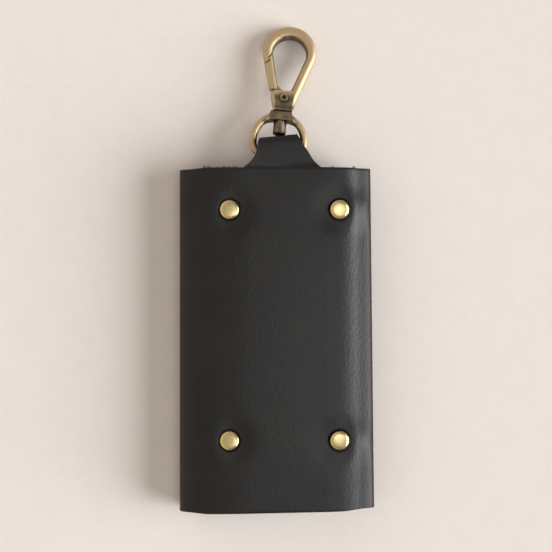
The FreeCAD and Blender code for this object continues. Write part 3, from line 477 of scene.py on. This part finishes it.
def new_piece(name, mesh, finishes):
    """Turns a bmesh in millimetres into a piece of the scene."""
    bmesh.ops.scale(mesh, vec=(MM, MM, MM), verts=mesh.verts[:])
    data = bpy.data.meshes.new(name)
    mesh.to_mesh(data)
    mesh.free()
    for face_finish in finishes:
        data.materials.append(face_finish)
    data.shade_smooth()
    data.set_sharp_from_angle(angle=SMOOTH_ANGLE)
    return new_object(name, data)


def give_finish(nodes, made):
    """Puts a finish on nodes of the frame that show as they are."""
    for name in nodes:
        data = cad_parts[name].data
        data.materials.clear()
        data.materials.append(made)


def leather_sheet(name, cells, outer, inner, bend_tint, colours, free_end=False, finer=None):
    """A closed sheet of leather, bent from a flat grid.

    outer and inner give a point of the grain side and of the flesh side from its shares across and
    along the sheet. The cut edges along it, and across its free end, are softened. Where finer says
    so, the cells are divided into smaller ones.
    """
    half, finer_cuts, near_rim = 0.5, 3, 1e-5
    mesh = bmesh.new()
    across = mesh.verts.layers.float.new("across")
    along = mesh.verts.layers.float.new("along")
    wear_and_reflection = mesh.verts.layers.float.new("bend_wear_and_reflection")
    bmesh.ops.create_grid(mesh, x_segments=cells[0], y_segments=cells[1], size=half)
    if finer:
        near = [e for e in mesh.edges if all(finer(v.co.x + half, v.co.y + half) for v in e.verts)]
        bmesh.ops.subdivide_edges(mesh, edges=near, cuts=finer_cuts, use_grid_fill=True)
    for vert in mesh.verts:
        vert[across] = vert.co.x + half
        vert[along] = vert.co.y + half
        vert[wear_and_reflection] = bend_tint(vert[across], vert[along])
    grain_side = mesh.verts[:]
    made = bmesh.ops.extrude_face_region(mesh, geom=mesh.faces[:], use_keep_orig=True)
    flesh_verts = {item for item in made["geom"] if isinstance(item, bmesh.types.BMVert)}
    for vert in grain_side:
        vert.co = outer(vert[across], vert[along])
    for vert in flesh_verts:
        vert.co = inner(vert[across], vert[along])
    for face in mesh.faces:
        napped = sum(vert in flesh_verts for vert in face.verts)
        face.material_index = FLESH if napped == len(face.verts) else EDGE if napped else GRAIN
    bmesh.ops.recalc_face_normals(mesh, faces=mesh.faces[:])
    rims = [(along, 0.0), (along, 1.0)] + ([(across, 1.0)] if free_end else [])

    def on_rim(edge):
        first, last = edge.verts
        on_one_side = (first in flesh_verts) == (last in flesh_verts)
        return on_one_side and any(
            all(abs(vert[layer] - level) < near_rim for vert in edge.verts) for layer, level in rims
        )

    bmesh.ops.bevel(
        mesh, geom=[edge for edge in mesh.edges if on_rim(edge)], offset=EDGE_BEVEL,
        offset_type="OFFSET", segments=2, profile=0.5, affect="EDGES", material=-1, clamp_overlap=True,
    )
    mesh.verts.layers.float.remove(mesh.verts.layers.float["across"])
    mesh.verts.layers.float.remove(mesh.verts.layers.float["along"])
    return new_piece(name, mesh, leather_finishes(colours))


def pressed(colours, x, y):
    """How far a rivet presses the leather down here, from 0 to 1."""
    reach = colours.dimple / MM
    total = 0.0
    for rivet_x, rivet_y in RIVETS:
        gap = max(math.hypot(x - rivet_x, y - rivet_y) - CAP_RADIUS, 0.0)
        total += math.exp(-((gap / reach) ** 2))
    return min(total, 1.0)


def rivet_gap(x, y):
    """Distance from a point of the panel to the nearest rivet's middle."""
    return min(math.hypot(x - rivet_x, y - rivet_y) for rivet_x, rivet_y in RIVETS)


def seat(x, y):
    """Depth of the narrow groove that a rivet cap's rim presses into the leather."""
    past = max(rivet_gap(x, y) - SEAT_RADIUS, 0.0)
    return SEAT_DEPTH * math.exp(-((past / SEAT_WIDTH) ** 2))


def panel_height(colours, x, y):
    """Height of the panel's grain side: proud between the rivets, falling towards both rolls."""
    middle = (PANEL_LOW.x + PANEL_HIGH.x) / 2
    half = (PANEL_HIGH.x - PANEL_LOW.x) / 2
    dome = (1 - min(((x - middle) / half) ** 2, 1.0)) ** 2 * (1 - ((y - CASE_MIDDLE) / CASE_HALF) ** 4)
    right = max(x - colours.right_start / MM, 0) / (PANEL_HIGH.x - colours.right_start / MM)
    left = max(colours.left_start / MM - x, 0) / (colours.left_start / MM - PANEL_LOW.x)
    fall = colours.right_fall * right ** 2 + colours.left_fall * left ** 2
    rise = (colours.lift + colours.crown * dome - fall) / MM
    hold = pressed(colours, x, y)
    return PANEL_HIGH.z + rise * (1 - hold) - RIVET_SINK * hold - seat(x, y)


def warped(colours, x, y, z):
    """A point of the worn body: ends skewed and drawn in, right side leaning, left side bulging.

    Each warp starts some way from the middle and grows to its full size over a run.
    """
    end_start, end_run = 40, 18
    side_start, side_run = 23, 7
    curl_start, curl_run = 22, 8
    lean_level, upper_right_curl = 0.15, 0.4
    lower = ease((CASE_MIDDLE - y - end_start) / end_run)
    upper = ease((y - CASE_MIDDLE - end_start) / end_run)
    lean = (CASE_MIDDLE - y) / CASE_HALF - lean_level
    leant = colours.drift / MM * lean * ease((x - side_start) / side_run)
    bulged = colours.spread / MM * ease((-x - side_start) / side_run)
    drawn_in = colours.curl / MM * ease((abs(x) - curl_start) / curl_run)
    y_moved = y + lower * (colours.skew / MM * x / RIGHT_HIGH.x + drawn_in)
    y_moved -= upper * drawn_in * (1.0 if x < 0 else upper_right_curl)
    return Vector((x + leant - bulged, y_moved, z))


def y_at(share):
    """A place along the case from its share of the length."""
    return PANEL_LOW.y + share * 2 * CASE_HALF


def fold_sizes(side):
    """The panel's edge on a side, and the low corner, high corner and middle height of its fold."""
    low, high = (LEFT_LOW, LEFT_HIGH) if side < 0 else (RIGHT_LOW, RIGHT_HIGH)
    edge = PANEL_LOW.x if side < 0 else PANEL_HIGH.x
    return edge, low, high, (low.z + high.z) / 2


def roll_arc(colours, side, share, y):
    """A point of an upper roll's grain side and its outward normal, in the section at y.

    The roll leaves the panel with the panel's own slope and ends upright at the middle of the fold.
    """
    step, round_share = 0.05, 0.5523
    edge, low, high, middle = fold_sizes(side)
    start = Vector((edge, panel_height(colours, edge, y)))
    end = Vector((low.x if side < 0 else high.x, middle))
    slope = (start.y - panel_height(colours, edge - side * step, y)) / step
    leave = Vector((side, slope)).normalized()
    reach = abs(end.x - start.x) * round_share
    points = [
        start,
        start + leave * reach,
        end + Vector((0, (start.y - end.y) * round_share)),
        end,
    ]
    rest = 1 - share
    weights = (rest ** 3, 3 * rest ** 2 * share, 3 * rest * share ** 2, share ** 3)
    spot = sum((p * w for p, w in zip(points, weights)), Vector((0, 0)))
    turns = (3 * rest ** 2, 6 * rest * share, 3 * share ** 2)
    run = sum(((b - a) * w for a, b, w in zip(points, points[1:], turns)), Vector((0, 0)))
    run.normalize()
    return spot, Vector((-side * run.y, side * run.x))


def flap_section(side, share):
    """A point on the grain side of a lower roll and its flap, from the side inwards.

    With it come its normal, how far it is bent from 1 to 0, and its distance from the free end.
    """
    edge, low, _, middle = fold_sizes(side)
    flat = abs((OUTER_FREE if side < 0 else INNER_FREE) - edge)
    radius = middle - low.z
    arc = radius * math.pi / 2
    run = share * (arc + flat)
    if run < arc:
        turn = run / radius
        normal = Vector((side * math.cos(turn), -math.sin(turn)))
        return Vector((edge, middle)) + normal * radius, normal, 1 - run / arc, flat
    return Vector((edge - side * (run - arc), low.z)), Vector((0, -1)), 0.0, flat - run + arc


class KEYCASE_OT_front_panel(bpy.types.Operator):
    """Models the middle panel, pillowed between its rivets"""

    bl_idname = "key_case.front_panel"
    bl_label = "Front panel"

    def execute(self, context):
        colours = context.scene.key_case_leather
        width = PANEL_HIGH.x - PANEL_LOW.x
        columns, step, finer_past = 72, 0.1, 2.0

        def outer(u, v):
            x, y = PANEL_LOW.x + u * width, y_at(v)
            return warped(colours, x, y, panel_height(colours, x, y))

        def inner(u, v):
            x, y = PANEL_LOW.x + u * width, y_at(v)
            here = panel_height(colours, x, y)
            back = -1 if u > 0.5 else 1
            tilt_x = (panel_height(colours, x + back * step, y) - here) / (back * step)
            normal = Vector((-tilt_x, 0, 1)).normalized()
            thick = LEATHER - RIVET_SINK * pressed(colours, x, y) - seat(x, y)
            point = Vector((x, y, here)) - normal * thick
            return warped(colours, *point)

        def finer(u, v):
            return rivet_gap(PANEL_LOW.x + u * width, y_at(v)) < CAP_RADIUS + finer_past

        piece = leather_sheet(
            "front_panel_leather", (columns, ROWS), outer, inner, lambda u, v: 0.0, colours, finer=finer,
        )
        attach(piece, "case")
        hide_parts("front_panel")
        return {"FINISHED"}


class KEYCASE_OT_rolls(bpy.types.Operator):
    """Models the upper half of the rolled fold on each side"""

    bl_idname = "key_case.rolls"
    bl_label = "Rolled folds"

    def execute(self, context):
        colours = context.scene.key_case_leather
        columns = 18
        for side, word in ((-1, "left"), (1, "right")):
            node = f"{word}_fold"

            def place(u, v, depth):
                spot, normal = roll_arc(colours, side, u, y_at(v))
                spot = spot - normal * depth
                return warped(colours, spot.x, y_at(v), spot.y)

            piece = leather_sheet(
                f"{word}_roll_leather", (columns, ROWS),
                lambda u, v: place(u, v, 0.0), lambda u, v: place(u, v, LEATHER),
                # Browner towards the fold: wear and a painted warm reflection of the floor
                lambda u, v: ease(u), colours,
            )
            edge, low, _, middle = fold_sizes(side)
            reach = middle - low.z - LEATHER
            start = Vector((edge, CASE_MIDDLE, PANEL_LOW.z)) * MM
            end = Vector((edge + side * reach, CASE_MIDDLE, middle)) * MM
            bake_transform(piece, "case", node, start=start, end=end)
            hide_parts(node)
        return {"FINISHED"}


class KEYCASE_OT_flaps(bpy.types.Operator):
    """Models the two flaps on the back, each with the lower half of its roll"""

    bl_idname = "key_case.flaps"
    bl_label = "Flaps"

    def execute(self, context):
        colours = context.scene.key_case_leather
        columns, corner = 60, 5.0
        for side, node, roll in ((-1, "outer_flap", "left_fold"), (1, "inner_flap", "right_fold")):

            def place(u, v, depth):
                spot, normal, _, to_free = flap_section(side, u)
                spot = spot - normal * depth
                short = max(corner - to_free, 0.0)
                half = CASE_HALF - corner + math.sqrt(max(corner ** 2 - short ** 2, 0.0))
                y = CASE_MIDDLE + (2 * v - 1) * half
                return warped(colours, spot.x, y, spot.y)

            piece = leather_sheet(
                f"{node}_leather", (columns, ROWS),
                lambda u, v: place(u, v, 0.0), lambda u, v: place(u, v, LEATHER),
                # Browner round the lower roll: wear and a painted warm reflection of the floor
                lambda u, v: ease(flap_section(side, u)[2]), colours, free_end=True,
            )
            edge, low, _, middle = fold_sizes(side)
            reach = middle - low.z - LEATHER
            start = Vector((edge + side * reach, CASE_MIDDLE, middle)) * MM
            end = Vector((edge, CASE_MIDDLE, low.z + LEATHER)) * MM
            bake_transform(piece, roll, node, start=start, end=end)
            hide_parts(node)
        return {"FINISHED"}


class KEYCASE_OT_hanger_tab(bpy.types.Operator):
    """Models the folded tab: a bell-shaped strip that loops through the eye"""

    bl_idname = "key_case.hanger_tab"
    bl_label = "Hanger tab"

    def execute(self, context):
        colours = context.scene.key_case_leather
        thick = colours.tab / MM
        cells, slope_step = (30, 150), 0.05
        pull_back, ply_gap, square = 0.25, 0.05, 4.0
        belly_past, root_depth = 0.6, 6.5
        tip_half, flare, bell_half, bell_length, bell_power = 6.35, 0.40, 2.53, 10.8, 4.5
        tip_x, foot_shift, shift_length = 0.6, 1.4, 7
        tilt, tilt_length = 0.1, 9
        roll, roll_inset, roll_length = 0.05, 2, 4
        wear_share, wear_length = 0.7, 0.8
        bend_past = 2.2
        radius = (TAB_HIGH.z - TAB_LOW.z) / 2
        fold_end = TAB_HIGH.y - pull_back
        loop_y = fold_end - radius
        middle = (TAB_HIGH.z + TAB_LOW.z) / 2
        root_height = TAB_HIGH.z - 2 * thick - ply_gap
        belly, root = PANEL_HIGH.y + belly_past, PANEL_HIGH.y - root_depth
        straight, bend = loop_y - TAB_LOW.y, math.pi * radius

        def back_height(y):
            return TAB_LOW.z + (root_height - TAB_LOW.z) * ease((belly - y) / (belly - root))

        def path(share):
            """Along, height, and the normal in that plane, round the outside of the loop."""
            run = share * (2 * straight + bend)
            if run < straight:
                return TAB_LOW.y + run, TAB_HIGH.z, Vector((0, 1))
            if run < straight + bend:
                turn = (run - straight) / radius
                out, up = math.sin(turn), abs(math.cos(turn))
                side = math.copysign(1.0, math.cos(turn))
                normal = Vector((out ** (2 - 2 / square), side * up ** (2 - 2 / square))).normalized()
                y = loop_y + radius * out ** (2 / square)
                return y, middle + side * radius * up ** (2 / square), normal
            y = loop_y - (run - straight - bend)
            slope = (back_height(y + slope_step) - back_height(y - slope_step)) / (2 * slope_step)
            return y, back_height(y), Vector((slope, -1)).normalized()

        def place(u, v, depth):
            y, z, normal = path(v)
            from_fold = fold_end - y
            bell = tip_half + flare * from_fold + bell_half * (from_fold / bell_length) ** bell_power
            half = min(bell, (TAB_HIGH.x - TAB_LOW.x) / 2)
            across = (2 * u - 1) * half
            x = tip_x + foot_shift * ease(from_fold / shift_length) + across
            lean = tilt * across * (1 - ease(from_fold / tilt_length))
            rolled = roll * across * ease((y - PANEL_HIGH.y + roll_inset) / roll_length)
            return Vector((x, y - normal.x * depth + lean, z - normal.y * depth - rolled))

        def bend_tint(u, v):
            return wear_share * math.exp(-((path(v)[0] - fold_end) / wear_length) ** 2)

        piece = leather_sheet(
            "hanger_tab_leather", cells,
            lambda u, v: place(u, v, 0.0), lambda u, v: place(u, v, thick), bend_tint, colours,
        )
        start = Vector((0.0, PANEL_HIGH.y + bend_past, middle)) * MM
        end = Vector((0.0, fold_end, middle)) * MM
        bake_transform(piece, "case", "eye", start=start, end=end)
        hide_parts("hanger_tab")
        return {"FINISHED"}


class KEYCASE_OT_edge_fibres(bpy.types.Operator):
    """Models the loose fibres on the raw upper edge"""

    bl_idname = "key_case.edge_fibres"
    bl_label = "Edge fibres"

    def execute(self, context):
        colours = context.scene.key_case_leather
        chance = random.Random(7)
        # Place across the edge and number of fibres of each tuft
        tufts = [
            (-24.2, 9), (-22.6, 8), (-17.8, 10), (-16.1, 8), (-14.0, 7), (-20.2, 4), (-9.8, 4),
            (19.0, 4), (25.9, 8),
        ]
        tuft_spread, lengths, depths, inset = 0.35, (0.3, 0.9), (0.1, 0.6), 0.1
        sway, rise, foot_radius, tip_radius = 0.6, (-0.2, 0.7), 0.1, 0.02
        mesh = bmesh.new()
        for tuft, count in tufts:
            for _ in range(count):
                x = tuft + chance.gauss(0, tuft_spread)
                top = panel_height(colours, x, PANEL_HIGH.y)
                tall = chance.uniform(*lengths)
                foot = Vector((x, PANEL_HIGH.y - inset, top - chance.uniform(*depths)))
                way = Vector((chance.gauss(0, sway), 1.0, chance.uniform(*rise))).normalized()
                turn = way.to_track_quat("Z", "Y").to_matrix().to_4x4()
                bmesh.ops.create_cone(
                    mesh, cap_ends=True, segments=5, radius1=foot_radius, radius2=tip_radius, depth=tall,
                    matrix=Matrix.Translation(foot + way * tall / 2) @ turn,
                )
        piece = new_piece("upper_edge_fibres", mesh, [finish("raw_leather_edge", raw_edge, colours)])
        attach(piece, "case")
        return {"FINISHED"}


class KEYCASE_OT_rivets(bpy.types.Operator):
    """Models the four domed rivet caps and finishes their backs"""

    bl_idname = "key_case.rivets"
    bl_label = "Rivets"

    def execute(self, context):
        brass = finish("polished_pale_brass", pale_brass, context.scene.key_case_metal)
        # Radius and height of each point of a cap's outline, from its top to its underside
        profile = [
            (0, 0.78), (1.2, 0.76), (2.15, 0.69), (2.8, 0.54), (3.17, 0.20), (3.28, -0.2), (3.2, -0.5),
            (2.6, -0.6), (2.5, -0.7), (0, -0.7),
        ]
        right_lean, upper_left_lean, lower_left_lean = 7.0, -2.0, -6.0
        hinge = Vector((0.6, 0.8, 0.0))
        turn_steps, join_gap = 32, 0.001
        mesh = bmesh.new()
        for x, y in RIVETS:
            centre = Vector((x, y, PANEL_HIGH.z))
            verts = [mesh.verts.new(centre + Vector((r, 0, z))) for r, z in profile]
            edges = [mesh.edges.new(pair) for pair in zip(verts, verts[1:])]
            bmesh.ops.spin(
                mesh, geom=verts + edges, cent=centre, axis=(0, 0, 1), angle=2 * math.pi,
                steps=turn_steps, use_merge=True,
            )
            left_lean = upper_left_lean if y > CASE_MIDDLE else lower_left_lean
            lean = math.radians(right_lean if x > 0 else left_lean)
            cap = [vert for vert in mesh.verts if (vert.co - centre).length < 2 * CAP_RADIUS]
            bmesh.ops.rotate(mesh, cent=centre, matrix=Matrix.Rotation(lean, 3, hinge), verts=cap)
        bmesh.ops.remove_doubles(mesh, verts=mesh.verts[:], dist=join_gap)
        bmesh.ops.recalc_face_normals(mesh, faces=mesh.faces[:])
        piece = new_piece("rivet_cap_domes", mesh, [brass])
        smoother = piece.modifiers.new("Smooth dome", "SUBSURF")
        smoother.levels = 2
        smoother.render_levels = 2
        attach(piece, "case")
        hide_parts("rivet_caps")
        give_finish(["rivet_backs"], brass)
        return {"FINISHED"}


class KEYCASE_OT_clasp(bpy.types.Operator):
    """Finishes the swivel clasp in antique brass"""

    bl_idname = "key_case.clasp"
    bl_label = "Clasp"

    def execute(self, context):
        metal = context.scene.key_case_metal
        hook_opening = Vector((4.8, 71.0, 4.0))
        eye_opening = (EYE_LOW + EYE_HIGH) / 2
        hook_brass = antique_brass("rubbed_antique_brass", metal, hook_opening, zone_x=2.7, zone_half=3.4)
        eye_brass = antique_brass("rubbed_antique_brass_eye", metal, eye_opening, zone_x=1.6, zone_half=4.4)
        give_finish(["clasp_hook", "clasp_gate", "gate_pin"], hook_brass)
        give_finish(["swivel_eye", "swivel_pin"], eye_brass)
        give_finish(["gate_spring"], finish("spring_steel_strip", spring_steel, metal))
        return {"FINISHED"}


class KEYCASE_OT_key_rows(bpy.types.Operator):
    """Finishes the key plates, key hooks and tongues"""

    bl_idname = "key_case.key_rows"
    bl_label = "Key rows"

    def execute(self, context):
        metal = context.scene.key_case_metal
        plated = [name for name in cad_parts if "_key_plate" in name or "_key_hook_" in name]
        tongues = [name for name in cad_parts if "_hook_tongue_" in name]
        give_finish(plated, finish("nickel_plated_steel", nickel_plate, metal))
        give_finish(tongues, finish("spring_steel_strip", spring_steel, metal))
        return {"FINISHED"}


class KEYCASE_OT_snaps(bpy.types.Operator):
    """Finishes the snap fasteners"""

    bl_idname = "key_case.snaps"
    bl_label = "Snaps"

    def execute(self, context):
        brass = finish("polished_pale_brass", pale_brass, context.scene.key_case_metal)
        give_finish(["snap_caps", "snap_sockets", "snap_studs", "snap_eyelets"], brass)
        return {"FINISHED"}


def set_lamps(stage):
    """The low key lamp at the right and the softbox overhead."""
    cool_white = (0.98, 1.0, 1.025)
    box_size, box_place = 0.34, (0.162, -0.094, 0.880)
    towards = Vector((
        math.cos(stage.key_height) * math.cos(stage.key_side),
        -math.cos(stage.key_height) * math.sin(stage.key_side),
        math.sin(stage.key_height),
    ))
    lamp = bpy.data.lights.new("key_light", "SUN")
    lamp.energy = math.pi * stage.key / towards.z
    lamp.angle = stage.key_size
    lamp.color = cool_white
    key = new_object("key_light", lamp)
    key.rotation_euler = towards.to_track_quat("Z", "Y").to_euler()
    key.location = towards
    panel = bpy.data.lights.new("softbox", "AREA")
    panel.energy = stage.softbox
    panel.size = box_size
    softbox = new_object("softbox", panel)
    softbox.location = box_place
    softbox.visible_camera = False
    softbox.rotation_euler = softbox.location.to_track_quat("Z", "Y").to_euler()


def set_room(scene, stage):
    """The light of the room: warm, darker towards the lamp's side and overhead."""
    warm_white, lamp_way = (1.10, 0.98, 0.88, 1.0), (0.98, -0.2, 0.0)
    side_band, side_levels, ceiling_levels = (-0.7, 0.7), (1.0, 0.05), (1.0, 0.57)
    world = bpy.data.worlds.new("soft_room")
    world.use_nodes = True
    tree = world.node_tree
    way = coordinates(tree, "Generated")
    sides = remap(tree, calculate_vector(tree, "DOT_PRODUCT", way, lamp_way), side_band, side_levels)
    up = add_node(tree, "ShaderNodeSeparateXYZ", {"Vector": way}).outputs["Z"]
    ceiling = remap(tree, up, (0.0, 1.0), ceiling_levels)
    level = calculate(tree, "MULTIPLY", sides, ceiling)
    set_inputs(tree, tree.nodes["Background"], {
        "Color": warm_white, "Strength": calculate(tree, "MULTIPLY", level, stage.fill),
    })
    scene.world = world


def set_camera(scene, stage):
    """The camera straight above the case."""
    camera_x, camera_y, case_level = -0.17 * MM, -2.865 * MM, 10 * MM
    lens = bpy.data.cameras.new("camera")
    lens.lens = lens.sensor_width * (stage.camera_height - case_level) / stage.field
    camera = new_object("camera", lens)
    camera.location = (camera_x, camera_y, stage.camera_height)
    scene.camera = camera
    scene.view_settings.view_transform = "Standard"


class KEYCASE_OT_stage(bpy.types.Operator):
    """Sets the paper floor, the soft light and the camera"""

    bl_idname = "key_case.stage"
    bl_label = "Stage"

    def execute(self, context):
        scene = context.scene
        stage = scene.key_case_stage
        paper_half = 2500
        mesh = bmesh.new()
        bmesh.ops.create_grid(mesh, x_segments=8, y_segments=8, size=paper_half)
        floor = new_piece("paper_floor", mesh, [finish("uncoated_art_paper", art_paper, stage)])
        set_lamps(stage)
        set_room(scene, stage)
        set_camera(scene, stage)
        return {"FINISHED"}


class KEYCASE_PT_panel(bpy.types.Panel):
    """Lists the pieces of the key case"""

    bl_idname = "KEYCASE_PT_panel"
    bl_label = "Key case"
    bl_space_type = "VIEW_3D"
    bl_region_type = "UI"
    bl_category = "Key case"

    def draw(self, context):
        scene = context.scene
        for operator in OPERATORS:
            self.layout.operator(operator.bl_idname)
        for settings in (scene.key_case_leather, scene.key_case_metal, scene.key_case_stage):
            for name in settings.bl_rna.properties.keys():
                if name not in ("rna_type", "name"):
                    self.layout.prop(settings, name)


SETTINGS = (KeyCaseLeather, KeyCaseMetal, KeyCaseStage)
OPERATORS = (
    KEYCASE_OT_stage,
    KEYCASE_OT_front_panel,
    KEYCASE_OT_rolls,
    KEYCASE_OT_flaps,
    KEYCASE_OT_hanger_tab,
    KEYCASE_OT_edge_fibres,
    KEYCASE_OT_rivets,
    KEYCASE_OT_clasp,
    KEYCASE_OT_key_rows,
    KEYCASE_OT_snaps,
)


def register():
    for item in (*SETTINGS, *OPERATORS, KEYCASE_PT_panel):
        bpy.utils.register_class(item)
    bpy.types.Scene.key_case_leather = PointerProperty(type=KeyCaseLeather)
    bpy.types.Scene.key_case_metal = PointerProperty(type=KeyCaseMetal)
    bpy.types.Scene.key_case_stage = PointerProperty(type=KeyCaseStage)


def unregister():
    del bpy.types.Scene.key_case_stage
    del bpy.types.Scene.key_case_metal
    del bpy.types.Scene.key_case_leather
    for item in reversed((*SETTINGS, *OPERATORS, KEYCASE_PT_panel)):
        bpy.utils.unregister_class(item)


def main():
    register()
    bpy.ops.key_case.stage()
    bpy.ops.key_case.front_panel()
    bpy.ops.key_case.rolls()
    bpy.ops.key_case.flaps()
    bpy.ops.key_case.hanger_tab()
    bpy.ops.key_case.edge_fibres()
    bpy.ops.key_case.rivets()
    bpy.ops.key_case.clasp()
    bpy.ops.key_case.key_rows()
    bpy.ops.key_case.snaps()


if __name__ == "__main__":
    main()
